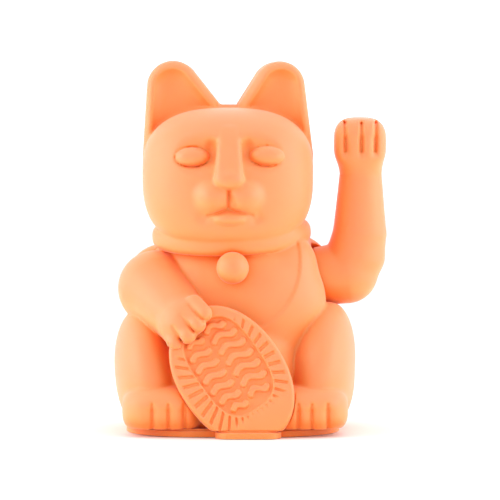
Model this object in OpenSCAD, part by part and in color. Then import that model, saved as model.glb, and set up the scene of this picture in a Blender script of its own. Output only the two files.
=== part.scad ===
// Beckoning cat figurine: a hollow two-shell cat on a base plate, with one arm that
// swings on a magnet-driven pendulum fed by a single cell. Millimetres, +Z up, the cat
// faces -Y, and the origin is the middle of the base's underside.

/* [Shell] */
// Wall thickness of the moulded shells
wall = 2.2; // [1.8:0.1:2.4]
// Gap between parts that move past each other
running_gap = 0.06; // [0.03:0.01:0.09]
// Depth position of the seam between the front and rear shells
seam_y = 4; // [3.5:0.5:4.5]
// Colour of every visible moulding
skin = "#ff9f66"; // [#ff9f66, #f4c0c8, #c9d8b6]

/* [Head] */
// Width across the cheeks
head_w = 67.4; // [66:0.2:68.4]
// Depth from face to nape
head_d = 56; // [54:0.5:58]
// Height of the crown above the table
crown_z = 128; // [127:0.5:129]
// Height of the ear tips above the table
ear_tip_z = 145.5; // [144.5:0.5:146.5]

/* [Body] */
// Half width of the haunches
hip_x = 47.5; // [46.5:0.5:48]
// Height of the collar's middle
collar_z = 74.5; // [73.5:0.5:75.5]
// Diameter of the bell
bell_d = 12.5; // [12:0.5:13]

/* [Coin] */
// Length of the coin
coin_l = 58; // [57:1:59]
// Width of the coin
coin_w = 41; // [40:1:42]
// Thickness of the coin at its edge
coin_t = 4; // [3.5:0.5:4.5]
// Roll of the coin's long axis away from upright
coin_roll = 35; // [33:1:37]
// Backward lean of the coin
coin_lean = 10; // [9:1:11]

/* [Waving arm] */
// Height of the pivot above the table
pivot_z = 60; // [59.5:0.5:60.5]
// Radius of the arm's root where it meets the body
arm_root_r = 11.7; // [11.4:0.1:11.9]
// Wall thickness of the arm's two halves
arm_wall = 1.5; // [1.4:0.1:1.7]
// Forward lean of the forearm
arm_lean = 5; // [3:1:7]

/* [Drive] */
// Radius of the steel pin that the lever turns on
pin_r = 1; // [0.9:0.1:1.2]
// Radius of the lever's output shaft
shaft_r = 3.5; // [3.3:0.1:3.7]
// Side of the square steel counterweight
weight_w = 13; // [12:0.5:14]
// Diameter of the disc magnet
magnet_d = 12; // [11:0.5:13]
// Outer diameter of the drive coil
coil_d = 13; // [12:0.5:14]

/* [Battery] */
// Cell diameter (AA)
cell_d = 14.2; // [13.9:0.1:14.4]
// Cell length without its nub (AA)
cell_l = 49.2; // [49:0.1:49.5]

/* [Hidden] */
$fn = 48;
form_fn = 24;
hollow_fn = 14;
joint = 0.05;
shell_foot_z = 3;
flange_t = 2.2;
drive_x = 14;
post_gap = 17;
post_t = 3;
post_x = [drive_x - post_gap / 2 - post_t, drive_x + post_gap / 2];
arm_flat_x = 31;
arm_x = 50.2;
pivot = [0, seam_y, pivot_z];
head_at = [-2, -4, 100.1];
cell_x = -16;
cell_y = 0.9;
door_t = 1.6;
door_gap = 0.25;
door_z = 0.8;
bay_w = cell_d + 1.3;
bay_l = 55;
cell_z = door_z + door_t + 0.35 + cell_d / 2;
bay_top_z = cell_z + cell_d / 2 + 0.4;
bay_wall = 1.4;
bay_roof = 1.1;
bay_rear_y = cell_y + bay_l / 2;
bay_front_y = cell_y - bay_l / 2;
cell_nub = 1.3;
cell_flat_y = bay_front_y + 1.1 + cell_nub + cell_l;
stand_z = 7;
board_t = 1.6;
board_top_z = stand_z + board_t;
board_size = [14, 37];
bobbin_h = 7;
magnet_t = 4;
magnet_z = board_top_z + bobbin_h + 2.6;
weight_h = 15;
weight_y = seam_y + 1.05; // set back, so that the leaning arm hangs at rest
weight_z = magnet_z + magnet_t + 1.2 + 1;
coin_at = [-0.3, -36.5, 23.8];
coin_field = 0.74;
screw_r = 1.3;
head_r = 2.5;
base_screw_at = [[-33, -20], [33, -20], [-33, 18], [33, 18]];
frame_screw_at = [[-1.6, seam_y], [29.6, seam_y]];
seam_pin_at = [[-25, 108], [21, 108], [-29, 61], [-34, 12], [34.5, 12]];

// ---------- shapes shared by several modules ----------

module blob(at, half, inset = 0) {
    translate(at) scale([for (h = half) h - inset]) sphere(r = 1, $fn = inset > 0 ? hollow_fn : form_fn);
}

module ball(at, r, inset = 0) {
    translate(at) sphere(r = r - inset, $fn = inset > 0 ? hollow_fn : form_fn);
}

// A rod along X between two heights of x.
module rod_x(x0, x1, r) {
    translate([x0, 0, 0]) rotate([0, 90, 0]) cylinder(r = r, h = x1 - x0);
}

module at_pivot() {
    translate(pivot) children();
}

// A tube of radius r that follows a list of points.
function unit(v) = v / norm(v);
function heading(p, i) = unit(p[min(i + 1, len(p) - 1)] - p[max(i - 1, 0)]);
function side_of(t) = unit(cross(t, abs(t.z) < 0.9 ? [0, 0, 1] : [0, 1, 0]));
function ring(p, i, r, n) = let (t = heading(p, i), a = side_of(t), b = cross(t, a))
    [for (k = [0:n - 1]) p[i] + r * (a * cos(360 * k / n) + b * sin(360 * k / n))];

module tube(p, r, n = 8) {
    rings = len(p);
    points = [for (i = [0:rings - 1]) each ring(p, i, r, n)];
    sides = [for (i = [0:rings - 2], k = [0:n - 1])
        let (j = (k + 1) % n) [i * n + k, (i + 1) * n + k, (i + 1) * n + j, i * n + j]];
    polyhedron(points, concat(sides,
        [[for (k = [0:n - 1]) k]], [[for (k = [n - 1:-1:0]) (rings - 1) * n + k]]));
}

// ---------- the cat's outer form, shrunk by inset for the hollow inside ----------

module head_form(inset) {
    half_w = head_w / 2;
    jaw_r = 22;
    brow_r = 21;
    brow_z = crown_z - head_at.z - brow_r;
    hull() for (sx = [-1, 1]) {
        for (y = [-7, 6])
            ball(head_at + [sx * (half_w - brow_r - 0.3), y, brow_z], brow_r, inset);
        for (y = [-head_d / 2 + jaw_r, head_d / 2 - jaw_r])
            ball(head_at + [sx * (half_w - jaw_r), y, -5], jaw_r, inset);
    }
    // muzzle, chin, nose and eyes
    hull() for (sx = [-1, 1]) ball([sx * 5.5 - 1.2, -26.2, 87.5], 7.6, inset);
    ball([-1, -25.2, 83], 7.4, inset);
    if (inset == 0) {
        hull() for (sx = [-1, 1]) ball([sx * 2.2 - 1.2, -32, 95.5], 2.6);
        blob([-15.5, -28.4, 106.6], [6.4, 4.2, 3.7]);
        blob([13.2, -28.4, 107], [6.6, 4.2, 3.8]);
    }
}

// Ear: tip disc, inner foot and outer foot, each [x, z, radius].
module ear_outline(tip, inner, outer, grow) {
    hull() for (c = [tip, inner, outer])
        translate([c.x, c.y]) circle(r = c.z + grow, $fn = form_fn);
}

module ear_form(tip, inner, outer, inset) {
    hull() {
        translate([0, 8 - inset, 0]) rotate([90, 0, 0])
            linear_extrude(12 - 2 * inset) ear_outline(tip, inner, outer, -inset - 1.5);
        translate([0, 5.5 - inset, 0]) rotate([90, 0, 0])
            linear_extrude(max(7 - 2 * inset, 0.5)) ear_outline(tip, inner, outer, -inset);
    }
}

module ear_dish(tip, inner, outer) {
    translate([0, -1.5, 0]) rotate([90, 0, 0])
        linear_extrude(10) ear_outline(tip, inner, outer, -3);
}

left_ear = [[-24, ear_tip_z - 10.6, 10.6], [-9.2, 127.2, 4], [-30.3, 108, 5]];
right_ear = [[18.4, ear_tip_z - 10.2, 10.2], [4.4, 127.4, 4], [25.9, 108, 5]];

module neck_form(inset) {
    translate([-0.6, 0, collar_z]) rotate([5.5, -2, 0]) scale([1, 0.88, 1])
        hull() for (z = [-1.6, 1.6]) translate([0, 0, z]) rotate_extrude($fn = 44)
            translate([31.4 - 4.2, 0]) circle(r = max(4.2 - inset, 0.4), $fn = 12);
}

// A thin slab at table height that keeps the hollow inside open at the bottom.
module foot_slab(discs, inset) {
    translate([0, 0, shell_foot_z - 1]) linear_extrude(1.5) hull()
        for (d = discs) translate([d.x, d.y]) circle(r = d.z - inset, $fn = 32);
}

module torso_form(inset) {
    hull() {
        blob([-1, 2, 61.6], [31, 24, 16], inset);
        blob([0.8, 5, 29], [39, 32.5, 27], inset);
        foot_slab([[-14.8, 10.5, 26], [14.8, 10.5, 26], [-14.8, -7, 26], [14.8, -7, 26]], inset);
    }
    hull() {
        blob([4, 8, 67.6], [25, 15, 12], inset);
        ball([27, 14, 53.6], 14, inset);
        blob([26, 12, 28], [20, 20, 20], inset);
    }
    blob([14, -9, 55.8], [22, 19, 20], inset);
    blob([16, 4, 57.8], [18.5, 18, 19], inset);
}

// The lap fills the space between the feet, up to the coin's back.
module lap_form(inset) {
    hull() {
        blob([-1, -17, 24], [25, 16.5, 19], inset);
        for (x = [-21, 19], z = [12, 23]) ball([x, -24.5, z], 8, inset);
        foot_slab([[-20, -22.5, 9.4], [20, -22.5, 9.4]], inset);
    }
}

module haunch_form(sx, x, inset) {
    hull() {
        blob([sx * (x - 19), -7, 29.2], [19, 26, 21], inset);
        blob([sx * (x - 21.2), 7, 15.5], [19, 27, 14.5], inset);
    }
}

module foot_form(x, inset) {
    s = sign(x);
    hull() {
        for (dx = [-1, 1], y = [-30.5, -14])
            blob([x + dx * 8.6, y, 11.2], [8, 8.5, 9.2], inset);
        foot_slab([[x - s * 8.2, -29.6, 4.8], [x + s * 4, -27, 4.8], [x + s * 8.4, -14, 4.8]], inset);
    }
}

module resting_arm_form(inset) {
    hull() {
        ball([-30.5, -4, 56], 14.7, inset);
        blob([-22, -17, 52], [12, 12, 12], inset);
    }
    hull() {
        blob([-25, -14, 52], [13, 13, 12.5], inset);
        ball([-18.5, -28, 43], 9.2, inset);
    }
    ball([-17.6, -32, 40.6], 8.2, inset);
}

module tail_form(inset) {
    hull() {
        ball([-5, 34, 12.5], 6.5, inset);
        ball([6, 36, 14.5], 6.5, inset);
        ball([0, 22, 17], 9, inset);
    }
}

module cat_form(inset) {
    head_form(inset);
    ear_form(left_ear[0], left_ear[1], left_ear[2], inset);
    ear_form(right_ear[0], right_ear[1], right_ear[2], inset);
    neck_form(inset);
    torso_form(inset);
    lap_form(inset);
    haunch_form(-1, hip_x - 0.6, inset);
    haunch_form(1, hip_x + 1, inset);
    foot_form(-27.6, inset);
    foot_form(29.2, inset);
    resting_arm_form(inset);
    tail_form(inset);
}

// Everything that the outer form gives up: the table side, ear dishes, the arm's seat.
module form_cuts() {
    translate([-100, -100, -50]) cube([200, 200, 50 + shell_foot_z]);
    difference() {
        union() {
            ear_dish(left_ear[0], left_ear[1], left_ear[2]);
            ear_dish(right_ear[0], right_ear[1], right_ear[2]);
        }
        head_form(0);
    }
    at_pivot() rod_x(arm_flat_x, 70, arm_root_r + 1.2);
}

// Posts for the base screws and the seam pins, each run out to the shell's wall.
module inner_posts() {
    for (p = base_screw_at) hull() {
        translate([p.x, p.y, shell_foot_z]) cylinder(r = 3.6, h = 11, $fn = 20);
        translate([p.x * 1.5, p.y * 1.5, shell_foot_z]) cylinder(r = 2, h = 11, $fn = 12);
    }
    for (p = seam_pin_at) hull() {
        translate([p.x, seam_y, p.y]) rotate([90, 0, 0]) cylinder(r = 3, h = 12, center = true, $fn = 16);
        translate([p.x * 1.6, seam_y, p.y]) rotate([90, 0, 0]) cylinder(r = 2, h = 12, center = true, $fn = 8);
    }
}

module hollow_cat() {
    difference() {
        union() {
            difference() {
                cat_form(0);
                difference() {
                    cat_form(wall);
                    // flat inner wall behind the arm's seat
                    translate([arm_flat_x - wall, seam_y - 20, pivot_z - 20]) cube([40, 40, 40]);
                }
            }
            intersection() {
                cat_form(wall / 2);
                inner_posts();
            }
        }
        form_cuts();
        coin_body(joint);
        at_pivot() rod_x(arm_flat_x - 8, 40, shaft_r + 0.6);
        for (p = base_screw_at)
            translate([p.x, p.y, shell_foot_z - 1]) cylinder(r = screw_r + 0.05, h = 10, $fn = 16);
        translate(bell_at) sphere(r = bell_d / 2 + joint, $fn = 32);
    }
}

module half_space(rear) {
    translate([-100, rear ? seam_y + joint / 2 : seam_y - joint / 2 - 200, -1]) cube([200, 200, 200]);
}

module seam_pins(r, reach) {
    for (p = seam_pin_at)
        translate([p.x, seam_y + 0.5, p.y]) rotate([90, 0, 0]) cylinder(r = r, h = reach + 0.5, $fn = 12);
}

// ---------- shells, bell and coin ----------

module front_shell() {
    color(skin) difference() {
        intersection() {
            hollow_cat();
            half_space(false);
        }
        seam_pins(1.35, 4.4);
    }
}

module rear_shell() {
    color(skin) union() {
        intersection() {
            hollow_cat();
            half_space(true);
        }
        seam_pins(1.2, 4);
    }
}

bell_at = [0, -26, 64.4];

module bell() {
    color(skin) translate(bell_at) sphere(r = bell_d / 2);
}

module coin_place() {
    translate(coin_at) rotate([90 - coin_lean, 0, 0]) rotate([0, 0, coin_roll]) children();
}

module coin_outline(share) {
    scale([coin_w / coin_l, 1]) circle(d = coin_l * share, $fn = 72);
}

// The coin's bevelled disc, trimmed where it stands on the base.
module coin_body(grow) {
    intersection() {
        coin_place() hull() {
            translate([0, 0, -coin_t / 2 - grow])
                linear_extrude(coin_t * 0.6 + 2 * grow) coin_outline(1 + grow / 30);
            translate([0, 0, coin_t / 2 - 1]) linear_extrude(1 + grow) coin_outline(0.93 + grow / 30);
        }
        translate([-60, -90, shell_foot_z]) cube([120, 120, 90]);
    }
}

// A raised two-crested wave, half_l to each side.
module wave(half_l) {
    for (k = [0:3]) linear_extrude(3) hull() for (j = [k, k + 1])
        translate([half_l * (j / 2 - 1), 1.5 * (j % 2)]) circle(r = 1.1, $fn = 12);
}

// Border ticks and a raised relief of waves in place of any writing.
module coin() {
    color(skin) difference() {
        coin_body(0);
        coin_place() translate([0, 0, coin_t / 2 - 0.8]) difference() {
            linear_extrude(3) coin_outline(coin_field);
            for (k = [-2:2]) translate([0, k * 7.4, 0]) wave(9.6 - 1.6 * abs(k));
        }
        for (a = [0:12:348]) coin_place() rotate([0, 0, a]) scale([coin_w / coin_l, 1, 1])
            translate([coin_l * 0.43 - 1.6, -0.3, coin_t / 2 - 0.4]) cube([3.2, 0.6, 2]);
    }
}

// ---------- base ----------

module base_outline(inset) {
    hull() for (x = [-14.8, 14.8], y = [-8.2, 10.5]) translate([x, y]) circle(r = 27 - inset, $fn = 96);
    hull() for (x = [-1, 13]) translate([x, -37.4]) circle(r = 5.6 - inset, $fn = 32);
}

module bay_box(grow, z0, z1) {
    translate([cell_x - bay_w / 2 - grow, cell_y - bay_l / 2 - grow, z0])
        cube([bay_w + 2 * grow, bay_l + 2 * grow, z1 - z0]);
}

door_w = bay_w + 3;
door_l = bay_l + 3;
hinge_y = cell_y + door_l / 2 - door_t / 2;
hinge_z = door_z + door_t / 2;
hinge_pin_r = 0.55;
lead_r = 0.5;

module door_plan(grow, z0, z1) {
    translate([cell_x - door_w / 2 - grow, cell_y - door_l / 2 - grow, z0])
        cube([door_w + 2 * grow, door_l + 2 * grow, z1 - z0]);
}

module board_stands() {
    for (sy = [-1, 1]) translate([drive_x, seam_y + sy * 15.5, 0]) children();
}

module base_plate() {
    color(skin) difference() {
        union() {
            linear_extrude(flange_t) base_outline(0);
            translate([0, 0, flange_t]) linear_extrude(shell_foot_z - flange_t) base_outline(1.1);
            bay_box(bay_wall, 0, bay_top_z + bay_roof);
            for (p = frame_screw_at) translate([p.x, p.y, 0]) cylinder(r = 3.4, h = stand_z);
            board_stands() cylinder(r = 2, h = stand_z);
        }
        bay_box(0, -1, bay_top_z);
        door_plan(door_gap, -1, door_z + door_t + 0.1);
        for (p = base_screw_at) translate([p.x, p.y, -1]) {
            cylinder(r = screw_r + 0.2, h = 10);
            cylinder(r = head_r + 0.3, h = 2.2);
        }
        for (p = frame_screw_at) translate([p.x, p.y, 1.6]) cylinder(r = 1.05, h = 10);
        for (y = [bay_front_y + 0.55, bay_rear_y - 0.55])
            translate([cell_x, y, bay_top_z - 1]) cylinder(r = lead_r + 0.1, h = 4);
        translate([cell_x - door_w / 2 - 1.3, hinge_y, hinge_z]) rotate([0, 90, 0])
            cylinder(r = hinge_pin_r + running_gap, h = door_w + 2.6);
    }
}

// The lid drops open about the hinge pins at its rear edge.
module battery_door() {
    color(skin) difference() {
        union() {
            translate([cell_x - door_w / 2, cell_y - door_l / 2, door_z])
                cube([door_w, hinge_y - cell_y + door_l / 2, door_t]);
            translate([cell_x - door_w / 2, hinge_y, hinge_z]) rotate([0, 90, 0])
                cylinder(r = door_t / 2, h = door_w);
            translate([cell_x - door_w / 2 - 1, hinge_y, hinge_z]) rotate([0, 90, 0])
                cylinder(r = hinge_pin_r, h = door_w + 2);
            // latch tongue
            translate([cell_x - 4, bay_front_y + 0.35, door_z + door_t - 0.4]) cube([8, 1, 1.3]);
        }
        for (k = [-1:1]) translate([cell_x - 5, cell_y - door_l / 2 + 6 + 1.8 * k, door_z - 1])
            cube([10, 0.8, 1.5]);
    }
}

module screw(head_h, length) {
    union() {
        difference() {
            cylinder(r = head_r, h = head_h);
            translate([0, 0, -0.01]) for (a = [0, 90]) rotate([0, 0, a])
                translate([-1.5, -0.3, 0]) cube([3, 0.6, 0.9]);
        }
        cylinder(r = screw_r, h = length);
    }
}

module base_screws() {
    color("silver") for (p = base_screw_at) translate([p.x, p.y, 0.2]) screw(1, 9.5);
}

// ---------- waving arm ----------

module arm_place() {
    at_pivot() rotate([arm_lean, 0, 0]) translate([0, 0, -pivot_z]) children();
}

module arm_form(inset) {
    hull() {
        translate([arm_flat_x + 0.6 + inset, 0, pivot_z]) rotate([0, 90, 0])
            cylinder(r = arm_root_r - inset - 0.6, h = 4, $fn = 32);
        translate([arm_flat_x + 2.4 + inset, 0, pivot_z]) rotate([0, 90, 0])
            cylinder(r = arm_root_r - inset, h = 5, $fn = 32);
        ball([45.5, 0, pivot_z + 1.4], 12.4, inset);
    }
    hull() {
        ball([45, 0, pivot_z + 1.6], 12.4, inset);
        blob([49.7, 0, pivot_z + 14.5], [10.8, 10.8, 10], inset);
    }
    hull() {
        blob([49.7, 0, pivot_z + 14.5], [10.8, 10.8, 10], inset);
        blob([arm_x, 0, pivot_z + 41.5], [8.5, 8.5, 9], inset);
    }
    hull() {
        blob([arm_x, 0, pivot_z + 41.5], [8.5, 8.5, 9], inset);
        for (dx = [-2, 2]) blob([arm_x - 0.2 + dx, -0.6, pivot_z + 54.2], [8.1, 9.2, 8.5], inset);
    }
}

// Four toes, parted by three shallow grooves.
module toe_grooves() {
    for (dx = [-5.4, 0.6, 6]) hull() for (dz = [0, 13])
        ball([arm_x - 0.2 + dx, -11.4 + dz * 0.12, pivot_z + 48.5 + dz], 1.9);
}

module arm_socket() {
    translate([arm_flat_x + 1, -5, pivot_z - 5]) cube([12, 10, 10]);
}

module lever_tongue(grow) {
    translate([arm_flat_x - 1, -2 - grow, pivot_z - 2.8 - grow]) cube([12, 4 + 2 * grow, 5.6 + 2 * grow]);
}

module hollow_arm() {
    arm_place() difference() {
        union() {
            difference() {
                arm_form(0);
                arm_form(arm_wall);
            }
            intersection() {
                arm_form(0.2);
                arm_socket();
            }
        }
        toe_grooves();
        lever_tongue(joint);
    }
}

module arm_side(rear) {
    arm_place() translate([0, rear ? joint / 2 : -100 - joint / 2, 0]) cube([100, 100, 200]);
}

module arm_front_half() {
    color(skin) intersection() {
        hollow_arm();
        arm_side(false);
    }
}

module arm_rear_half() {
    color(skin) intersection() {
        hollow_arm();
        arm_side(true);
    }
}

// ---------- pendulum ----------

lever_x0 = post_x[0] + post_t + 0.4;
lever_x1 = post_x[1] - 0.4;
lever_t = 3;
rod_w = 7;

module swing_lever() {
    color("white") difference() {
        union() {
            at_pivot() rod_x(lever_x0, lever_x1, 4.6);
            at_pivot() rod_x(lever_x1 - 1, arm_flat_x - 0.6, shaft_r);
            arm_place() lever_tongue(0);
            translate([drive_x - rod_w / 2, seam_y - lever_t / 2, weight_z - 2])
                cube([rod_w, lever_t, pivot_z - weight_z]);
            translate([drive_x, seam_y, magnet_z + 1.2]) cylinder(r = magnet_d / 2 + 1, h = magnet_t);
        }
        at_pivot() rod_x(lever_x0 - 1, lever_x0 + 11, pin_r + running_gap);
        translate([drive_x, seam_y, magnet_z - 1]) cylinder(r = magnet_d / 2 + joint, h = magnet_t + 1 + joint);
        translate([drive_x, seam_y + 5, weight_z + weight_h / 2]) rotate([90, 0, 0]) cylinder(r = 1.1, h = 10);
    }
}

module counterweight() {
    color("dimgray") difference() {
        translate([drive_x - weight_w / 2, weight_y - weight_w / 2, weight_z + 2])
            cube([weight_w, weight_w, weight_h]);
        translate([drive_x - rod_w / 2 - joint, seam_y - lever_t / 2 - joint, weight_z])
            cube([rod_w + 2 * joint, lever_t + 2 * joint, weight_h + 6]);
        translate([drive_x, seam_y + 10, weight_z + weight_h / 2]) rotate([90, 0, 0]) cylinder(r = 1.1, h = 20);
    }
}

module weight_screw() {
    color("silver") translate([drive_x, weight_y - weight_w / 2, weight_z + weight_h / 2])
        rotate([-90, 0, 0]) union() {
            translate([0, 0, -1.2]) difference() {
                cylinder(r = 1.9, h = 1.2);
                for (a = [0, 90]) rotate([0, 0, a]) translate([-1.2, -0.25, -0.01]) cube([2.4, 0.5, 0.6]);
            }
            translate([0, 0, -0.1]) cylinder(r = 1.05, h = 11);
        }
}

module drive_magnet() {
    color("lightsteelblue") translate([drive_x, seam_y, magnet_z]) cylinder(d = magnet_d, h = magnet_t);
}

// ---------- frame that carries the pendulum ----------

post_foot_y = 11;
foot_pad_y = 6;
frame_foot_x = [frame_screw_at[0].x - 4, frame_screw_at[1].x + 4];

function sign_of(right) = right ? 1 : -1;

module post(x, right) {
    translate([x, seam_y, 0]) rotate([90, 0, 90]) linear_extrude(post_t)
        polygon([[-post_foot_y, stand_z], [post_foot_y, stand_z], [post_foot_y, stand_z + 4],
            [6.5, 36], [6.5, pivot_z], [-6.5, pivot_z], [-6.5, 36], [-post_foot_y, stand_z + 4]]);
    at_pivot() rod_x(x, x + post_t, 6.5);
    foot_x0 = right ? x : frame_foot_x[0];
    foot_x1 = right ? frame_foot_x[1] : x + post_t;
    translate([foot_x0, seam_y - foot_pad_y, stand_z])
        cube([foot_x1 - foot_x0, 2 * foot_pad_y, 2]);
    // gussets between post and foot
    for (sy = [-1, 1]) translate([right ? x + post_t : x, seam_y + sy * (foot_pad_y - 0.8), stand_z + 2])
        rotate([90, 0, 0]) linear_extrude(1.6, center = true)
            polygon([[-sign_of(right) * 0.5, 0], [sign_of(right) * 5, 0], [-sign_of(right) * 0.5, 12]]);
}

module drive_frame() {
    color("ivory") difference() {
        union() {
            post(post_x[0], false);
            post(post_x[1], true);
            // bridge between the posts, in front of the lever's hub
            translate([post_x[0], seam_y - 9.5, pivot_z - 12]) cube([post_gap + 2 * post_t, 3, 12]);
        }
        at_pivot() rod_x(post_x[0] - 1, post_x[0] + post_t + 1, pin_r);
        at_pivot() rod_x(post_x[1] - 1, post_x[1] + post_t + 1, shaft_r + running_gap);
        for (p = frame_screw_at) translate([p.x, p.y, 0]) cylinder(r = screw_r + 0.1, h = 20);
    }
}

module frame_screws() {
    color("silver") for (p = frame_screw_at) translate([p.x, p.y, stand_z + 3]) mirror([0, 0, 1]) union() {
        screw(1, 1.2);
        cylinder(r = 1, h = 7.6);
    }
}

module pivot_pin() {
    color("silver") at_pivot() rod_x(post_x[0] - 0.5, lever_x0 + 10.5, pin_r);
}

// ---------- electrics ----------

module circuit_board() {
    color("#2f6b3a") translate([drive_x - board_size.x / 2, seam_y - board_size.y / 2, stand_z])
        cube([board_size.x, board_size.y, board_t]);
}

module coil_bobbin() {
    color("ivory") translate([drive_x, seam_y, board_top_z]) rotate_extrude()
        polygon([[1.5, 0], [coil_d / 2, 0], [coil_d / 2, 0.9], [3, 0.9],
            [3, bobbin_h - 0.9], [coil_d / 2, bobbin_h - 0.9], [coil_d / 2, bobbin_h], [1.5, bobbin_h]]);
}

module coil_winding() {
    color("#b5692f") translate([drive_x, seam_y, board_top_z + 0.9 + joint]) difference() {
        cylinder(d = coil_d - 1, h = bobbin_h - 1.8 - 2 * joint);
        translate([0, 0, -1]) cylinder(r = 3 + joint, h = bobbin_h);
    }
}

module transistor() {
    color("#222222") translate([drive_x + 3, seam_y - 11, board_top_z]) union() {
        for (dx = [-1.27, 0, 1.27]) translate([dx - 0.25, -0.25, 0]) cube([0.5, 0.5, 2]);
        translate([0, 0, 2]) difference() {
            cylinder(r = 2.3, h = 4.6);
            translate([-4, 1.3, -1]) cube([8, 4, 8]);
        }
    }
}

module capacitor() {
    color("#30303a") translate([drive_x - 3.4, seam_y + 11.5, board_top_z]) union() {
        cylinder(r = 2.5, h = 5);
        cylinder(r = 2.1, h = 5.2);
    }
}

module resistors() {
    color("#c9b38a") for (k = [0, 1])
        translate([drive_x - 3, seam_y - 9.5 - 3.6 * k, board_top_z + 1.3]) rotate([0, 90, 0]) union() {
            translate([0, 0, -1.6]) cylinder(r = 1, h = 3.2);
            translate([0, 0, -2.9]) cylinder(r = 0.25, h = 5.8);
            for (z = [-2.9, 2.4]) translate([-0.25, -0.25, z]) cube([1.55, 0.5, 0.5]);
        }
}

module aa_cell() {
    color("#4a4f57") translate([cell_x, cell_flat_y, cell_z]) rotate([90, 0, 0]) union() {
        cylinder(d = cell_d, h = cell_l);
        cylinder(d = 5.4, h = cell_l + cell_nub);
    }
}

// Conical coil spring that presses on the cell's flat end.
module spring_contact() {
    turns = 2.5;
    steps = 16;
    n = turns * steps;
    coil_end = bay_rear_y - 0.7;
    color("silver") union() {
        tube([for (i = [0:n]) let (s = i / n, a = 360 * i / steps, r = 5.2 - 2.2 * s)
            [cell_x + r * cos(a), coil_end - (coil_end - cell_flat_y - 0.38) * s, cell_z + r * sin(a)]], 0.35, 6);
        translate([cell_x - 6.2, bay_rear_y - 0.5, cell_z - 6.2]) cube([12.4, 0.5, 12.4]);
    }
}

module plate_contact() {
    color("silver") union() {
        translate([cell_x - 6.2, bay_front_y, cell_z - 6.2]) cube([12.4, 0.5, 12.4]);
        translate([cell_x, bay_front_y, cell_z]) rotate([-90, 0, 0]) cylinder(r = 2.4, h = 1.1);
    }
}

// A lead rises through the bay's roof at y0, crosses it, and drops to the board at x1, y1.
module lead(y0, x1, y1) {
    top = bay_top_z + bay_roof + 2.4;
    inward = sign(y1 - y0);
    tube([[cell_x, y0, cell_z + 6.2], [cell_x, y0, top - 1.6], [cell_x + 0.5, y0 + 0.3 * inward, top - 0.5],
        [cell_x + 1.8, y0 + inward, top], [-9, y0 + 4 * inward, top], [-6, y0 + 5 * inward, top - 1.6],
        [-5.2, y0 + 5.4 * inward, 15], [-4.2, y0 + 5.8 * inward, 12.4], [-1, y0 + 6 * inward, 11.4],
        [x1 - 4, y1 - inward, 11.4], [x1 - 0.8, y1, 11], [x1, y1, 10.2], [x1, y1, board_top_z]], lead_r);
}

module positive_lead() {
    color("crimson") lead(bay_front_y + 0.55, 9.4, -12.8);
}

module negative_lead() {
    color("#202020") lead(bay_rear_y - 0.55, 13.4, 20.4);
}

front_shell();
rear_shell();
bell();
coin();
base_plate();
battery_door();
base_screws();
arm_front_half();
arm_rear_half();
swing_lever();
counterweight();
weight_screw();
drive_magnet();
drive_frame();
frame_screws();
pivot_pin();
circuit_board();
coil_bobbin();
coil_winding();
transistor();
capacitor();
resistors();
aa_cell();
spring_contact();
plate_contact();
positive_lead();
negative_lead();
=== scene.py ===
# Beckoning cat figurine. The visible mouldings are sculpted as signed-distance forms in
# millimetres, in the CAD frame, and meshed here; the other parts keep their CAD shape.
import math

import bpy
import numpy as np
from mathutils import Matrix, Vector


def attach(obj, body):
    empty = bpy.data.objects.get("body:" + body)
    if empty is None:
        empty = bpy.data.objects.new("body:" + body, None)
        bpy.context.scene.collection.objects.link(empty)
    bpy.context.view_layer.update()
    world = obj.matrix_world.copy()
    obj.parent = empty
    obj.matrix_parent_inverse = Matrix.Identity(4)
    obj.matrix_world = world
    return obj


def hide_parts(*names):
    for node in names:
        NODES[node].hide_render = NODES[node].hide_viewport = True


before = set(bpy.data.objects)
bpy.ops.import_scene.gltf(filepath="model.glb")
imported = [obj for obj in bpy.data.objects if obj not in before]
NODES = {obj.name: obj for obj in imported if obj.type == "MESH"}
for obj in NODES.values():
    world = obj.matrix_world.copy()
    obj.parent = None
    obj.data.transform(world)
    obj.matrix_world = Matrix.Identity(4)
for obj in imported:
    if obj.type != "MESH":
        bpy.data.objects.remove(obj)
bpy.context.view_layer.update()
MM = 0.001
SHELL_PITCH = 0.62
FINE_PITCH = 0.32

# ---------- driving dimensions, in millimetres ----------

WALL = 2.2
ARM_WALL = 1.5
SEAM_Y = 4.0
SEAM_GAP = 0.12
FOOT_Z = 3.0
PIVOT = np.array([0.0, 4.0, 60.0])
ARM_LEAN = math.radians(5)
ARM_FLAT_X = 31.0
SEAT_R = 12.9
SHAFT_R = 4.1
HEAD = (-2.0, -4.0, 101.3)
HEAD_HALF_X, HEAD_HALF_Y = 33.6, 26.5
HEAD_RISE, HEAD_DROP = 25.2, 29.6  # from its middle to its top and to its bottom
TRUNK_TOP = 80
EYES = ((-15.6, 107.1, 6.6, -1), (13.3, 107.5, 6.8, 1))  # x, z, half width, side
CHEEKS_X = (-6.9, 4.2)
EAR_MID_Y = 2.2
EAR_HALF_T = 6.2
EAR_RIM = 2.6
LEFT_EAR = ((-23.8, 134.9, 10.3), (-9.6, 127.0, 4), (-30.8, 108, 5))  # discs of the outline: x, z, r
RIGHT_EAR = ((19.1, 135.2, 9.8), (7.0, 126.9, 4), (27.3, 108, 5))
COLLAR_R = 27.6
COLLAR_OVAL = 0.81
BIB_DEPTH = 0.9
LEFT_TOES_X = (-30.7, -24.6, -18.4)
RIGHT_TOES_X = (25.2, 30.4, 36.4)
BELL = (0.0, -26.0, 64.4)
BELL_R = 6.25
COIN = np.array([-0.3, -36.5, 23.8])
COIN_HALF = (20.4, 28.9)
COIN_T = 4.0
COIN_ROLL = math.radians(35)
COIN_LEAN = math.radians(10)
COIN_POWER = 2.12
FIELD_DEPTH = 1.5
BAR_HEIGHT = 1.4
BAR_SPACING = 4.9
TICKS = 38
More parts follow.
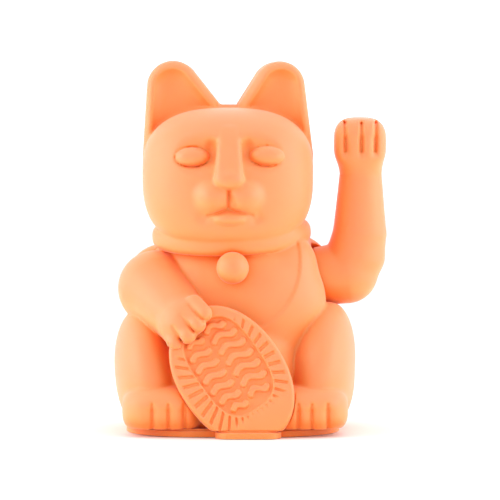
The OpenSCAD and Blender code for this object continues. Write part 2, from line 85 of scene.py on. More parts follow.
TICK_DEPTH = 0.9
PALM_X = 49.8
CAT_LOW, CAT_HIGH = (-49.5, -45.5, 1.2), (51, 45.5, 148)
SEAM_ROOM = 2.0  # how far each shell's grid reaches past the seam

# ---------- the picture: millimetres, watts and linear colours ----------

CAMERA_AT, CAMERA_AIM, LENS = (6.7, -1000, 105), (6.7, 0, 70.45), 182.0
TENT_FRONT, TENT_BACK = 0.62, 1.25
SOFTBOX = (600, 700)
LEFT_WATTS, RIGHT_WATTS = 3.7, 3.3
# painted shade: one peach plastic colour in three tones, from unshaded to shaded. The material picks between
# them by occlusion and by how far a face points down; the real plastic is one colour
UNSHADED_PEACH = (1.0, 0.305, 0.115, 1)
HALF_SHADED_PEACH = (1.0, 0.335, 0.09, 1)
PAINTED_SHADE_PEACH = (1.0, 0.215, 0.013, 1)
SHADE_REACH = 24


# ---------- distance forms ----------

def ellipsoid(p, at, half):
    q = (p - np.array(at, np.float32)) / np.array(half, np.float32)
    reach = np.sqrt((q * q).sum(1))
    slope = np.sqrt(((q / np.array(half, np.float32)) ** 2).sum(1))
    return reach * (reach - 1) / np.maximum(slope, 1e-6)


def ball(p, at, r):
    q = p - np.array(at, np.float32)
    return np.sqrt((q * q).sum(1)) - r


def rod(p, a, b, ra, rb):
    """A rod with round ends, of radius ra at a and rb at b."""
    a, b = np.array(a, np.float32), np.array(b, np.float32)
    run = b - a
    t = np.clip((p - a) @ run / float(run @ run), 0, 1)
    q = p - a - t[:, None] * run
    return np.sqrt((q * q).sum(1)) - (ra + (rb - ra) * t)


def squared(p, at, half, plan=2.4, rise=2.4):
    """An ellipsoid with squarer shoulders: plan in the XY section, rise along Z."""
    q = np.abs(p - np.array(at, np.float32))
    u = np.maximum(q / np.array(half, np.float32), 1e-4)
    g = ((u[:, 0] ** plan + u[:, 1] ** plan) ** (rise / plan) + u[:, 2] ** rise) ** (1 / rise)
    far = np.sqrt((q * q).sum(1))
    return far - far / g


def join(a, b, k):
    """Union with a fillet of about k."""
    h = np.maximum(k - np.abs(a - b), 0) / k
    return np.minimum(a, b) - h * h * k / 4


def cut(a, b, k):
    """a without b, with a rounded edge of about k."""
    return -join(-a, b, k)


def line_off(p, a, b):
    """Distance in the XZ plane to the line from a to b, each (x, z)."""
    ax, az = a
    rx, rz = b[0] - ax, b[1] - az
    t = np.clip(((p[:, 0] - ax) * rx + (p[:, 2] - az) * rz) / (rx * rx + rz * rz), 0, 1)
    return np.hypot(p[:, 0] - ax - t * rx, p[:, 2] - az - t * rz)


def engrave(d, off, width, depth):
    """A soft groove of that depth, where off is the distance to its middle line."""
    return d + depth * np.exp(-(off / width) ** 2)


def turned(p, at, about_x=0.0, about_y=0.0, about_z=0.0):
    """p in the axes of a form that sits at a point and is turned, angles in degrees."""
    turn = (Matrix.Rotation(math.radians(about_z), 3, "Z") @ Matrix.Rotation(math.radians(about_y), 3, "Y")
            @ Matrix.Rotation(math.radians(about_x), 3, "X"))
    return (p - np.array(at, np.float32)) @ np.array(turn, np.float32)


def step(x, width):
    """0 below zero and 1 above it, over about the width given."""
    return 0.5 + 0.5 * np.tanh(x / width)


# ---------- the cat ----------

def head(p):
    q = p - np.array(HEAD, np.float32)
    z = q[:, 2] - 0.05 * q[:, 1]
    up = z > 0
    rise = np.where(up, 2.6, 2.9).astype(np.float32)
    half_z = np.where(up, HEAD_RISE, HEAD_DROP)
    u = np.maximum(np.abs(q) / np.array([HEAD_HALF_X, HEAD_HALF_Y, 1.0], np.float32), 1e-4)
    side = (u[:, 0] ** 2.35 + u[:, 1] ** 2.35) ** (rise / 2.35)
    g = (side + np.maximum(np.abs(z) / half_z, 1e-4) ** rise) ** (1 / rise)
    far = np.sqrt((q * q).sum(1))
    return far - far / g


def eye_socket(p, d, x, z, side):
    """The hollow under the brow, and inside it the bowl that the eyeball sits in."""
    d = cut(d, ellipsoid(p, (x - side * 2.4, -35.0, z + 2.2), (13.0, 9.8, 8.6)), 3)
    d = cut(d, ellipsoid(p, (x - side * 7.2, -33.0, z + 2.4), (3.4, 8.6, 6.0)), 2)
    return cut(d, ellipsoid(p, (x, -28.6, z + 0.25), (7.6, 6.4, 4.6)), 0.4)


def mouth(p, d):
    d = join(d, ellipsoid(p, (-1.1, -26.6, 83.5), (7.0, 5.5, 3.1)), 0.8)
    front = (p[:, 1] < -15).astype(np.float32)
    d = engrave(d, line_off(p, (-2.6, 86.9), (-9.4, 84.5)), 0.6, 1.0 * front)
    d = engrave(d, line_off(p, (-0.8, 86.9), (7.6, 84.7)), 0.6, 0.8 * front)
    d = engrave(d, line_off(p, (-1.3, 94.6), (-1.6, 87.6)), 0.6, 1.1 * front)
    d = engrave(d, line_off(p, (-0.7, 92.0), (0.4, 88.6)), 1.1, 0.6 * front)
    d = engrave(d, line_off(p, (-10.8, 83.6), (-11.6, 84.0)), 2.2, 0.8 * front)
    return engrave(d, line_off(p, (8.8, 83.4), (9.8, 83.9)), 2.2, 1.1 * front)


def nose(p):
    """A flat-topped bridge that leans back towards the brow and ends in a round tip."""
    q = turned(p, (-1.4, -26.4, 106.6), about_x=-25)
    q[:, 0] *= 1 + 0.012 * q[:, 2]
    bridge = squared(q, (0, 0, 0), (5.0, 5.2, 13.0), 4.0, 4.0)
    return join(bridge, ellipsoid(p, (-1.4, -31.4, 98.6), (6.0, 4.6, 4.0)), 1.2)


def face(p, d):
    d = join(d, ellipsoid(p, (-1.5, -11.5, 81.2), (23, 16, 12)), 5)
    for x, z, _, side in EYES:
        d = eye_socket(p, d, x, z, side)
    for x in CHEEKS_X:
        d = join(d, ellipsoid(p, (x, -25.6, 92.2), (7.9, 8.8, 6.9)), 2.2)
    d = join(mouth(p, d), nose(p), 0.9)
    for x, z, width, _ in EYES:
        d = np.minimum(d, squared(p, (x, -24.6, z), (width, 4.9, 3.85), 2.05, 2.05))
    return d


def fan(x, z, discs):
    """Signed distance in the XZ plane to the hull of three discs [x, z, r]."""
    discs = [np.array(c, np.float32) for c in discs]
    middle = sum(discs)[:2] / 3
    normals = []
    d = np.full(x.shape, -1e9, np.float32)
    for k in range(3):
        a, b = discs[k], discs[(k + 1) % 3]
        run = b[:2] - a[:2]
        length = float(np.hypot(*run))
        out = np.array([run[1], -run[0]], np.float32) / length
        out = out if out @ (middle - a[:2]) < 0 else -out
        lean = (a[2] - b[2]) / length
        normal = out * math.sqrt(1 - lean * lean) + run / length * lean
        d = np.maximum(d, (x - a[0]) * normal[0] + (z - a[1]) * normal[1] - a[2])
        normals.append(normal)
    for k in range(3):
        c = discs[k]
        split = np.linalg.inv(np.stack([normals[k - 1], normals[k]], 1))
        share = split @ np.stack([x - c[0], z - c[1]])
        corner = (share[0] > 0) & (share[1] > 0)
        d = np.where(corner, np.hypot(x - c[0], z - c[1]) - c[2], d)
    return d


def ear(p, discs, shear):
    """A thick plate with a dished front. Its outline shifts sideways with depth by the shear."""
    x = p[:, 0] - shear * (p[:, 1] + 4)
    outline = fan(x, p[:, 2], discs)
    edge_r = 3.6
    qx = outline + edge_r
    qy = np.abs(p[:, 1] - EAR_MID_Y) - EAR_HALF_T + edge_r
    d = np.hypot(np.maximum(qx, 0), np.maximum(qy, 0)) + np.minimum(np.maximum(qx, qy), 0) - edge_r
    inside = -outline - EAR_RIM
    floor_y = -4.6 + 4.4 * (1 - np.exp(-np.maximum(inside, 0) / 2.6))
    dish = -join(-(p[:, 1] - floor_y) * 0.7, inside, 0.8)
    return cut(d, dish, 0.9)


def ears(p):
    left = ear(p, LEFT_EAR, 0.04)
    right = ear(p, RIGHT_EAR, -0.2)
    bridge = rod(p, (-9, 2.5, 124.6), (5, 2.5, 124.6), 3.5, 3.5)
    return np.minimum(join(left, bridge, 1.5), right)


def collar(p):
    q = turned(p, (-0.6, 0, 76.9), about_x=9.5, about_y=-2)
    ring = np.hypot(q[:, 0], q[:, 1] / COLLAR_OVAL) - COLLAR_R
    u = np.maximum(np.abs(ring) / 3.8, 1e-4)
    v = np.maximum(np.abs(q[:, 2]) / 4.3, 1e-4)
    g = (u ** 2.4 + v ** 2.4) ** (1 / 2.4)
    far = np.hypot(ring, q[:, 2])
    return np.minimum(far - far / g, np.maximum(ring, np.abs(q[:, 2]) - 3))


def trunk(p):
    z = np.clip(p[:, 2], 0, TRUNK_TOP)
    half_x = 40.3 - 0.0021 * z * z + np.where(p[:, 0] > 0, 1.7, 0.0) * step(p[:, 2] - 40, 12)
    half_y = 34.0 - 0.0025 * z * z
    x, y = p[:, 0], p[:, 1] - 3
    g = np.maximum(np.hypot(x / half_x, y / half_y), 1e-4)
    far = np.hypot(x, y)
    side = far - far / g
    return -join(-side, -(p[:, 2] - TRUNK_TOP), 4)


def lap(p):
    return squared(p, (-1, -17.5, 19), (26, 16.5, 22), 2.6, 2.4)


def torso(p):
    d = trunk(p)
    d = join(d, ellipsoid(p, (8.0, -7, 54), (22, 17.5, 24)), 4)
    d = join(d, ellipsoid(p, (13.5, -9, 50), (23.0, 17, 25)), 3)
    d = join(d, ellipsoid(p, (22.0, -8, 65), (10.8, 12, 12)), 3)
    # the bib: a shallow panel whose edge runs down the right of the chest
    rim = (np.hypot(p[:, 0] / 26.2, (p[:, 2] - 67) / 28.2) - 1) * 26
    d = d + BIB_DEPTH * step(-rim, 0.35) * (p[:, 1] < 0)
    return join(d, lap(p), 3)


def rear_shoulders(p):
    left = ellipsoid(p, (-27.4, 9.5, 59.5), (14.6, 10, 13.2))
    right = join(ball(p, (24.5, 13.5, 57.5), 13.6), ellipsoid(p, (24, 12, 34), (19, 19, 24)), 5)
    right = join(right, ellipsoid(p, (21.6, 12, 62.5), (17.6, 11, 14.5)), 3)
    return join(left, right, 1)


def thighs(p):
    right = ellipsoid(turned(p, (32.5, -2, 18.2), about_y=11.4), (0, 0, 0), (14.8, 31.5, 32.6))
    left = ellipsoid(turned(p, (-31.2, -2, 18.6), about_y=-11.5), (0, 0, 0), (14.8, 31.5, 29.8))
    seat_r = ellipsoid(p, (27.0, 7, 15.5), (19.2, 27, 17))
    seat_l = ellipsoid(p, (-25.8, 7, 16.5), (17.8, 27, 17))
    return np.minimum(join(right, seat_r, 6), join(left, seat_l, 6))


def foot(p, x, grooves):
    """A foot in the middle at x, with toe grooves at the x values given."""
    d = squared(p, (x, -21.5, 9.6), (16.2, 17.6, 10.2), 2.9, 2.8)
    front = (p[:, 1] < -26).astype(np.float32)
    for gx in grooves:
        d = engrave(d, line_off(p, (gx, 3), (gx, 12.6)), 0.7, 1.0 * front)
        d = engrave(d, line_off(p, (gx, 5), (gx, 9.5)), 2.0, 0.9 * front)
    return d


def resting_arm(p):
    d = join(ball(p, (-30.6, -4.5, 55.8), 14.25), rod(p, (-30.0, -7, 55.4), (-19.2, -26.5, 44.0), 14.2, 10.0), 3)
    return join(d, paw(p), 2.5)


def paw(p):
    """The right paw on the coin: a ball with four fingers and the grooves between them."""
    d = ball(p, (-18.4, -29.5, 43.2), 9.4)
    for base, tip, r in (((-14.6, -32.4, 51.2), (-10.9, -35.6, 47.4), 3.2),
                         ((-17.6, -33.4, 48.2), (-13.4, -37.2, 43.4), 3.4),
                         ((-20.8, -33.2, 44.4), (-17.2, -37.3, 39.2), 3.4),
                         ((-23.8, -31.6, 40.4), (-21.8, -35.2, 36.0), 3.2)):
        d = join(d, rod(p, base, tip, r, r), 0.8)
    front = step(-30 - p[:, 1], 1.5)
    for knuckle, end in (((-16.9, 50.4), (-11.4, 44.8)),
                         ((-19.7, 46.6), (-14.9, 40.8)),
                         ((-22.7, 42.4), (-19.4, 36.9))):
        d = engrave(d, line_off(p, knuckle, end), 0.65, 0.8 * front)
    return d


def tail(p):
    return join(rod(p, (-2, 26, 16), (8, 34.5, 13.5), 8.5, 7.2), ball(p, (-6.5, 33.5, 12.5), 6.6), 6)


def cat_form(p):
    low = torso(p)
    low = join(low, rear_shoulders(p), 3)
    low = join(low, tail(p), 2.5)
    low = join(low, thighs(p), 1.3)
    low = join(low, foot(p, -26.6, LEFT_TOES_X), 1.0)
    low = join(low, foot(p, 28.5, RIGHT_TOES_X), 1.0)
    low = join(low, resting_arm(p), 1.0)
    d = join(low, collar(p), 0.8)
    top = join(face(p, head(p)), ears(p), 0.9)
    return join(d, top, 0.8)


def hollow_form(p):
    """The outer form without its small features, for the hollow inside."""
    q = p.copy()
    q[:, 2] = np.maximum(q[:, 2], 9)
    low = join(trunk(q), thighs(q), 2)
    low = join(low, rear_shoulders(q), 3)
    low = join(low, lap(q), 2)
    low = join(low, collar(q) + 1.5, 2)
    return join(low, head(q), 2)


def coin_axes(p):
    """p in the coin's own axes: across, along its length, and out of its face."""
    lean = Matrix.Rotation(math.pi / 2 - COIN_LEAN, 3, "X") @ Matrix.Rotation(COIN_ROLL, 3, "Z")
    return (p - COIN.astype(np.float32)) @ np.array(lean, np.float32)


def coin_outline(q, grow=0.0):
    u = np.maximum(np.abs(q[:, 0]) / (COIN_HALF[0] + grow), 1e-4)
    v = np.maximum(np.abs(q[:, 1]) / (COIN_HALF[1] + grow), 1e-4)
    g = (u ** COIN_POWER + v ** COIN_POWER) ** (1 / COIN_POWER)
    far = np.hypot(q[:, 0], q[:, 1])
    return far - far / g


def coin_seat(p):
    q = coin_axes(p)
    return np.maximum(coin_outline(q) - 0.1, np.abs(q[:, 2]) - COIN_T / 2 - 0.1)


def arm_seat(p):
    ring = np.hypot(p[:, 1] - PIVOT[1], p[:, 2] - PIVOT[2])
    seat = np.maximum(ring - SEAT_R, ARM_FLAT_X - p[:, 0])
    shaft = np.maximum(ring - SHAFT_R, ARM_FLAT_X - 8 - p[:, 0])
    return np.minimum(seat, shaft)


def shell(p, rear):
    outer = cat_form(p)
    near = outer > -8  # deeper than this the inside is hollow anyway
    inner = np.full(len(p), -4.0, np.float32)
    inner[near] = np.maximum(hollow_form(p[near]) + WALL, outer[near] + 0.7 * WALL)
    behind_seat = p[:, 0] - (ARM_FLAT_X - WALL)
    inner = np.maximum(inner, np.minimum(behind_seat, 20 - np.hypot(p[:, 1] - 4, p[:, 2] - 60)))
    d = cut(outer, inner, 0.2)
    d = cut(d, arm_seat(p), 0.5)
    d = cut(d, coin_seat(p), 0.2)
    d = cut(d, ball(p, BELL, BELL_R + 0.05), 0.2)
    d = -join(-d, p[:, 2] - FOOT_Z, 0.5)
    side = (SEAM_Y + SEAM_GAP / 2 - p[:, 1]) if rear else (p[:, 1] - SEAM_Y + SEAM_GAP / 2)
    return -join(-d, -side, 0.5)


# ---------- bell, coin and waving arm ----------

def bell_form(p):
    stud = rod(p, (BELL[0], BELL[1] + 5.6, BELL[2]), (BELL[0], BELL[1] + 7.2, BELL[2]), 1.6, 1.6)
    return join(ball(p, BELL, BELL_R), stud, 0.6)


def bar(q, u0, u1, v, sway, r):
    """Distance across the face to a gently waved bar from u0 to u1, about the line at v."""
    t = np.clip((q[:, 0] - u0) / (u1 - u0), 0, 1)
    wave = v + sway * np.sin(1.7 * math.pi * t)
    return np.hypot(q[:, 0] - (u0 + (u1 - u0) * t), q[:, 1] - wave) - r


def coin_field(q):
    """Distance across the face to the edge of the recessed field."""
    fu = np.maximum(np.abs(q[:, 0] - 0.9) / 12.6, 1e-4)
    fv = np.maximum(np.abs(q[:, 1] - 3.4) / 19.3, 1e-4)
    return ((fu ** 3 + fv ** 3) ** (1 / 3) - 1) * 12.6


def coin_relief(q):
    """Height of the coin's face over its middle plane."""
    border, field = coin_outline(q), coin_field(q)
    bars = np.full(len(q), 9.0, np.float32)
    for k in range(-3, 4):
        v = 3.4 + BAR_SPACING * k
        reach = 12.0 * (1 - (abs(k) / 4.1) ** 3) ** 0.5
        bars = np.minimum(bars, bar(q, 0.9 - reach + 1.6, -1.9, v, 0.8, 1.3))
        bars = np.minimum(bars, bar(q, 1.9, 0.9 + reach - 1.8, v + 1.0, 1.2, 1.3))
    raised = BAR_HEIGHT * step(-bars, 0.2) * step(-field - 0.8, 0.3)
    height = COIN_T / 2 - FIELD_DEPTH * step(-field, 0.25) + raised
    # radial ticks between the field and the rim
    angle = np.arctan2(q[:, 1] / COIN_HALF[1], q[:, 0] / COIN_HALF[0])
    pitch = 2 * math.pi / TICKS
    off = np.abs((angle / pitch) % 1 - 0.5) * pitch * np.hypot(q[:, 0], q[:, 1])
    tick = step(0.5 - off, 0.12) * step(field - 0.5, 0.2) * step(-border - 1.9, 0.3)
    ends = step(17 - q[:, 1], 1.0) * step(q[:, 1] + 17, 1.0)
    return height - TICK_DEPTH * tick * ends


def coin_form(p):
    q = coin_axes(p)
    d = -join(-coin_outline(q), -(q[:, 2] - coin_relief(q)) * 0.8, 1.6)
    d = -join(-d, q[:, 2] + COIN_T / 2, 0.8)
    return -join(-d, p[:, 2] - FOOT_Z, 0.4)


def arm_axes(p):
    """p about the pivot, with the arm's forward lean undone."""
    return turned(p, PIVOT, about_x=math.degrees(ARM_LEAN))


def arm_body(q):
    d = rod(q, (34.6, 0, 0), (45.2, 0, 1.4), 11.6, 12.3)
    d = join(d, rod(q, (45.2, 0, 1.7), (48.7, 0, 8.5), 12.1, 11.6), 0.5)
    d = join(d, rod(q, (48.7, 0, 8.5), (50.2, 0, 17), 11.6, 10.6), 0.4)
    d = join(d, rod(q, (50.2, 0, 17), (50.5, 0, 41.0), 10.6, 8.3), 0.4)
    return join(d, squared(q, (50.1, -0.6, 52.9), (10.3, 9.7, 10.2), 3.0, 3.0), 4)


def arm_form(q):
    d = arm_body(q)
    front = (q[:, 1] < 0).astype(np.float32)
    for dx in (-5.4, 0.6, 6.0):
        d = engrave(d, line_off(q, (PALM_X + dx, 50.5), (PALM_X + dx * 1.05, 61.0)), 0.8, 1.5 * front)
        d = engrave(d, line_off(q, (PALM_X + dx, 49.5), (PALM_X + dx, 55)), 1.5, 0.9 * front)
    return d


def arm_half(p, rear):
    q = arm_axes(p)
    d = arm_form(q)
    d = cut(d, arm_body(q) + ARM_WALL + 1.7 * (q[:, 2] > 46), 0.2)
    socket = np.maximum(np.maximum(np.abs(q[:, 1]), np.abs(q[:, 2])) - 5, q[:, 0] - ARM_FLAT_X - 13)
    tongue = np.maximum(np.maximum(np.abs(q[:, 1]) - 2.05, np.abs(q[:, 2]) - 2.85), q[:, 0] - ARM_FLAT_X - 11)
    d = np.minimum(d, np.maximum(socket, arm_body(q) + 0.2))
    d = cut(d, tongue, 0.1)
    d = -join(-d, q[:, 0] - ARM_FLAT_X - 0.6, 0.8)
    side = (SEAM_GAP / 2 - q[:, 1]) if rear else (q[:, 1] + SEAM_GAP / 2)
    return -join(-d, -side, 0.4)


# ---------- meshing ----------

def in_chunks(form, points, size=300000):
    return np.concatenate([form(points[i:i + size]) for i in range(0, len(points), size)])


def sample(form, low, high, pitch):
    """The form's values on a grid, worked out in full only near its surface."""
    blocks = np.ceil((np.array(high) - low) / (4 * pitch)).astype(int)
    index = np.stack(np.meshgrid(*[np.arange(n) for n in blocks], indexing="ij"), -1).reshape(-1, 3)
    centres = (low + pitch * (4 * index + 1.5)).astype(np.float32)
    rough = in_chunks(form, centres)
    near = np.abs(rough) < 5.0 * pitch
    grid = np.repeat(rough[:, None], 64, 1)
    corner = np.stack(np.meshgrid(*[np.arange(4)] * 3, indexing="ij"), -1).reshape(-1, 3)
    points = low + pitch * (4 * index[near][:, None] + corner[None])
    grid[near] = in_chunks(form, points.reshape(-1, 3).astype(np.float32)).reshape(-1, 64)
    grid = grid.reshape(*blocks, 4, 4, 4).transpose(0, 3, 1, 4, 2, 5)
    return grid.reshape(blocks * 4)


def nets(grid):
    """Surface nets: one vertex in each cell that the surface crosses, one quad for each crossed edge."""
    shape = np.array(grid.shape)
    stride = np.array([shape[1] * shape[2], shape[2], 1])
    inside = grid < 0
    cells, points, flips = [], [], []
    for axis in range(3):
        a = [slice(1, -1)] * 3
        b = [slice(1, -1)] * 3
        b[axis] = slice(2, None)
        crossed = inside[tuple(a)] != inside[tuple(b)]
        at = np.argwhere(crossed) + 1
        here = grid[at[:, 0], at[:, 1], at[:, 2]]
        unit = np.eye(3, dtype=int)[axis]
        there = grid[tuple((at + unit).T)]
        points.append(at + (here / (here - there))[:, None] * unit)
        s, t = stride[(axis + 1) % 3], stride[(axis + 2) % 3]
        home = at @ stride
        cells.append(np.stack([home - s - t, home - t, home, home - s], 1))
        flips.append(here < 0)
    cells, points, flips = np.concatenate(cells), np.concatenate(points), np.concatenate(flips)
    quads = np.unique(cells.ravel(), return_inverse=True)[1]
    quads = quads.reshape(-1, 4)
    count = np.bincount(quads.ravel())
    spots = np.stack([np.bincount(quads.ravel(), np.repeat(points[:, k], 4)) / count for k in range(3)], 1)
    quads[~flips] = quads[~flips][:, ::-1]
    return spots, quads


def settle(form, spots, pitch, rounds=2):
    """Moves the vertices onto the form's true surface."""
    h = 0.06
    for _ in range(rounds):
        value = in_chunks(form, spots.astype(np.float32))
        slope = np.stack([in_chunks(form, (spots + h * np.eye(3)[k]).astype(np.float32)) - value
                          for k in range(3)], 1) / h
        size = np.maximum((slope ** 2).sum(1), 0.25)
        move = -(value / size)[:, None] * slope
        length = np.linalg.norm(move, axis=1)
        spots = spots + move * np.minimum(1, 0.5 * pitch / np.maximum(length, 1e-6))[:, None]
    return spots


def piece(name, form, low, high, pitch, material, body, *nodes):
    """Meshes a form as an object that stands for CAD nodes."""
    low = np.array(low, float)
    spots, quads = nets(sample(form, low, high, pitch))
    spots = settle(form, low + pitch * spots, pitch)
    mesh = bpy.data.meshes.new(name)
    mesh.vertices.add(len(spots))
    mesh.vertices.foreach_set("co", (spots * MM).astype(np.float32).ravel())
    mesh.loops.add(quads.size)
    mesh.loops.foreach_set("vertex_index", quads.astype(np.int32).ravel())
    mesh.polygons.add(len(quads))
    mesh.polygons.foreach_set("loop_start", np.arange(0, quads.size, 4, dtype=np.int32))
    mesh.polygons.foreach_set("use_smooth", np.ones(len(quads), bool))
    mesh.update(calc_edges=True)
    mesh.validate()
    mesh.materials.append(material)
    obj = bpy.data.objects.new(name, mesh)
    bpy.context.scene.collection.objects.link(obj)
    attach(obj, body)
    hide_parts(*nodes)


# ---------- materials ----------

def new_material(name, colour, roughness, metallic=0.0):
    material = bpy.data.materials.new(name)
    material.use_nodes = True
    shader = material.node_tree.nodes["Principled BSDF"]
    shader.inputs["Base Color"].default_value = (*colour, 1)
    shader.inputs["Roughness"].default_value = roughness
    shader.inputs["Metallic"].default_value = metallic
    return material, shader


def noise(material, scale, detail=3.0):
    """3-D noise in the object's own coordinates, in metres."""
    tree = material.node_tree
    place = tree.nodes.new("ShaderNodeTexCoord")
    node = tree.nodes.new("ShaderNodeTexNoise")
    node.inputs["Scale"].default_value = scale
    node.inputs["Detail"].default_value = detail
    tree.links.new(place.outputs["Object"], node.inputs["Vector"])
    return node


def vary_colour(material, shader, first, second, scale):
    tree = material.node_tree
    mix = tree.nodes.new("ShaderNodeMix")
    mix.data_type = "RGBA"
    mix.inputs["A"].default_value = (*first, 1)
    mix.inputs["B"].default_value = (*second, 1)
    tree.links.new(noise(material, scale).outputs["Fac"], mix.inputs["Factor"])
    tree.links.new(mix.outputs["Result"], shader.inputs["Base Color"])


def vary_roughness(material, shader, low, high, scale):
    tree = material.node_tree
    span = tree.nodes.new("ShaderNodeMapRange")
    span.inputs["To Min"].default_value = low
    span.inputs["To Max"].default_value = high
    tree.links.new(noise(material, scale).outputs["Fac"], span.inputs["Value"])
    tree.links.new(span.outputs["Result"], shader.inputs["Roughness"])


def grain(material, shader, scale, depth_mm, strength=0.5):
    tree = material.node_tree
    bump = tree.nodes.new("ShaderNodeBump")
    bump.inputs["Strength"].default_value = strength
    bump.inputs["Distance"].default_value = depth_mm * MM
    tree.links.new(noise(material, scale, 4).outputs["Fac"], bump.inputs["Height"])
    tree.links.new(bump.outputs["Normal"], shader.inputs["Normal"])


def peach_plastic():
    """Satin plastic with a fine moulded grain. Shade is painted into its colour: darker in its hollows (ambient
    occlusion) and on faces that point down, though the real plastic is one colour.
    """
    material, shader = new_material("peach_plastic", (1.0, 0.42, 0.2), 0.5)
    tree = material.node_tree
    # painted shade: ambient occlusion times a darkening for downward-facing normals picks the colour from the
    # ramp below
    open_sky = tree.nodes.new("ShaderNodeAmbientOcclusion")
    open_sky.samples = 8
    open_sky.inputs["Distance"].default_value = SHADE_REACH * MM
    painted_shade_ramp = tree.nodes.new("ShaderNodeValToRGB")
    painted_shade_ramp.color_ramp.elements[0].position = 0.28
    painted_shade_ramp.color_ramp.elements[0].color = PAINTED_SHADE_PEACH
    painted_shade_ramp.color_ramp.elements[1].position = 1.0
    painted_shade_ramp.color_ramp.elements[1].color = UNSHADED_PEACH
    middle = painted_shade_ramp.color_ramp.elements.new(0.62)
    middle.color = HALF_SHADED_PEACH
    facing = tree.nodes.new("ShaderNodeNewGeometry")
    parts = tree.nodes.new("ShaderNodeSeparateXYZ")
    tree.links.new(facing.outputs["Normal"], parts.inputs["Vector"])
    underside_shade = tree.nodes.new("ShaderNodeMapRange")
    underside_shade.inputs["From Min"].default_value = -1.0
    underside_shade.inputs["From Max"].default_value = 0.1
    underside_shade.inputs["To Min"].default_value = 0.5
    tree.links.new(parts.outputs["Z"], underside_shade.inputs["Value"])
    shade = tree.nodes.new("ShaderNodeMath")
    shade.operation = "MULTIPLY"
    tree.links.new(open_sky.outputs["AO"], shade.inputs[0])
    tree.links.new(underside_shade.outputs["Result"], shade.inputs[1])
    tree.links.new(shade.outputs["Value"], painted_shade_ramp.inputs["Fac"])
    cloud = tree.nodes.new("ShaderNodeMix")
    cloud.data_type = "RGBA"
    cloud.blend_type = "MULTIPLY"
    cloud.inputs["Factor"].default_value = 0.05
    tree.links.new(painted_shade_ramp.outputs["Color"], cloud.inputs["A"])
    tree.links.new(noise(material, 60).outputs["Color"], cloud.inputs["B"])
    tree.links.new(cloud.outputs["Result"], shader.inputs["Base Color"])
    vary_roughness(material, shader, 0.46, 0.56, 900)
    grain(material, shader, 2600, 0.03, 0.25)
    shader.inputs["Subsurface Weight"].default_value = 0.3
    shader.inputs["Subsurface Radius"].default_value = (1.0, 0.3, 0.1)
    shader.inputs["Subsurface Scale"].default_value = 4 * MM
    shader.inputs["Sheen Weight"].default_value = 0.3
    shader.inputs["Sheen Roughness"].default_value = 0.5
    return material


def plain_material(name, colour, roughness, metallic=0.0, spread=0.12, scale=400):
    material, shader = new_material(name, colour, roughness, metallic)
    darker = tuple(c * (1 - spread) for c in colour)
    vary_colour(material, shader, colour, darker, scale)
    vary_roughness(material, shader, roughness * 0.85, min(1, roughness * 1.15), scale * 2)
    grain(material, shader, scale * 4, 0.03, 0.3)
    return material


def dress(material, *nodes):
    """Gives CAD nodes a material."""
    for name in nodes:
        slots = NODES[name].data.materials
        slots.clear()
        slots.append(material)


# ---------- pieces ----------

PEACH = peach_plastic()


def build_cat():
    front_high = (CAT_HIGH[0], SEAM_Y + SEAM_ROOM, CAT_HIGH[2])
    rear_low = (CAT_LOW[0], SEAM_Y - SEAM_ROOM, CAT_LOW[2])
    piece("cat_front", lambda p: shell(p, False), CAT_LOW, front_high, SHELL_PITCH, PEACH, "cat", "front_shell")
    piece("cat_rear", lambda p: shell(p, True), rear_low, CAT_HIGH, SHELL_PITCH, PEACH, "cat", "rear_shell")
    piece("collar_bell", bell_form, np.array(BELL) - 9, np.array(BELL) + 9, FINE_PITCH, PEACH, "cat", "bell")
    piece("koban_coin", coin_form, (-27, -46, 1.5), (27, -27, 52), FINE_PITCH, PEACH, "cat", "coin")


def build_arm():
    pitch = FINE_PITCH * 1.3
    piece("arm_front", lambda p: arm_half(p, False), (29, -14, 44), (64, 8, 128), pitch, PEACH,
          "waving_arm", "arm_front_half")
    piece("arm_rear", lambda p: arm_half(p, True), (29, -10, 44), (64, 20, 128), pitch, PEACH,
          "waving_arm", "arm_rear_half")


def dress_cad():
    dress(PEACH, "base_plate", "battery_door")
    dress(plain_material("screw_steel", (0.55, 0.56, 0.58), 0.3, 1.0), "base_screws", "weight_screw",
          "frame_screws", "pivot_pin")
    dress(plain_material("weight_steel", (0.22, 0.22, 0.23), 0.45, 1.0), "counterweight")
    dress(plain_material("magnet_plating", (0.62, 0.62, 0.64), 0.2, 1.0), "drive_magnet")
    dress(plain_material("white_plastic", (0.8, 0.79, 0.74), 0.4), "swing_lever", "drive_frame", "coil_bobbin")
    dress(plain_material("board_laminate", (0.03, 0.16, 0.06), 0.45, 0.0, 0.3), "circuit_board")
    dress(plain_material("copper_wire", (0.72, 0.27, 0.1), 0.3, 1.0, 0.3, 1500), "coil_winding")
    dress(plain_material("black_plastic", (0.02, 0.02, 0.02), 0.5), "transistor")
    dress(plain_material("capacitor_sleeve", (0.03, 0.03, 0.05), 0.35), "capacitor")
    dress(plain_material("resistor_body", (0.55, 0.42, 0.22), 0.5), "resistors")
    dress(plain_material("cell_jacket", (0.07, 0.08, 0.1), 0.3), "aa_cell")
    dress(plain_material("contact_metal", (0.6, 0.6, 0.58), 0.25, 1.0), "spring_contact", "plate_contact")
    dress(plain_material("red_lead", (0.5, 0.02, 0.02), 0.45), "positive_lead")
    dress(plain_material("black_lead", (0.015, 0.015, 0.015), 0.45), "negative_lead")


# ---------- camera, floor and light ----------

def look_from(obj, at, aim):
    obj.location = Vector(at) * MM
    obj.rotation_euler = (Vector(aim) * MM - obj.location).to_track_quat("-Z", "Y").to_euler()


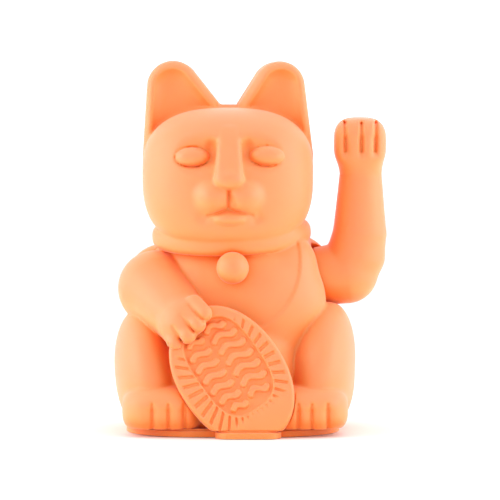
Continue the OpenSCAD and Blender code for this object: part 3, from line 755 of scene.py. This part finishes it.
def add_camera():
    data = bpy.data.cameras.new("camera")
    data.sensor_width = 36
    data.lens = LENS
    data.clip_end = 20
    camera = bpy.data.objects.new("camera", data)
    bpy.context.scene.collection.objects.link(camera)
    look_from(camera, CAMERA_AT, CAMERA_AIM)
    bpy.context.scene.camera = camera


def add_area(name, at, aim, size, power):
    data = bpy.data.lights.new(name, "AREA")
    data.shape = "RECTANGLE"
    data.size, data.size_y = size[0] * MM, size[1] * MM
    data.energy = power
    light = bpy.data.objects.new(name, data)
    bpy.context.scene.collection.objects.link(light)
    look_from(light, at, aim)


def add_world():
    """A light tent: bright behind and beside the object, dimmer on the camera's side."""
    world = bpy.data.worlds.new("studio")
    world.use_nodes = True
    tree = world.node_tree
    place = tree.nodes.new("ShaderNodeTexCoord")
    parts = tree.nodes.new("ShaderNodeSeparateXYZ")
    tent = tree.nodes.new("ShaderNodeMapRange")
    tent.interpolation_type = "SMOOTHSTEP"
    tent.inputs["From Min"].default_value = -1.0
    tent.inputs["From Max"].default_value = -0.1
    tent.inputs["To Min"].default_value = TENT_FRONT
    tent.inputs["To Max"].default_value = TENT_BACK
    tree.links.new(place.outputs["Generated"], parts.inputs["Vector"])
    tree.links.new(parts.outputs["Y"], tent.inputs["Value"])
    tree.links.new(tent.outputs["Result"], tree.nodes["Background"].inputs["Strength"])
    tree.nodes["Background"].inputs["Color"].default_value = (1, 1, 1, 1)
    bpy.context.scene.world = world
    bpy.context.scene.view_settings.view_transform = "Standard"


def add_light():
    add_area("left_softbox", (-700, -160, 260), (0, 0, 75), SOFTBOX, LEFT_WATTS)
    add_area("right_softbox", (720, -160, 240), (0, 0, 75), SOFTBOX, RIGHT_WATTS)
    add_world()


def add_floor():
    mesh = bpy.data.meshes.new("floor")
    r = 4.0
    mesh.from_pydata([(-r, -r, 0), (r, -r, 0), (r, r, 0), (-r, r, 0)], [], [(0, 1, 2, 3)])
    mesh.materials.append(new_material("floor", (0.96, 0.96, 0.96), 0.9)[0])
    floor = bpy.data.objects.new("floor", mesh)
    floor.location.z = -0.0002
    bpy.context.scene.collection.objects.link(floor)


add_camera()
build_cat()
build_arm()
dress_cad()
add_light()
add_floor()
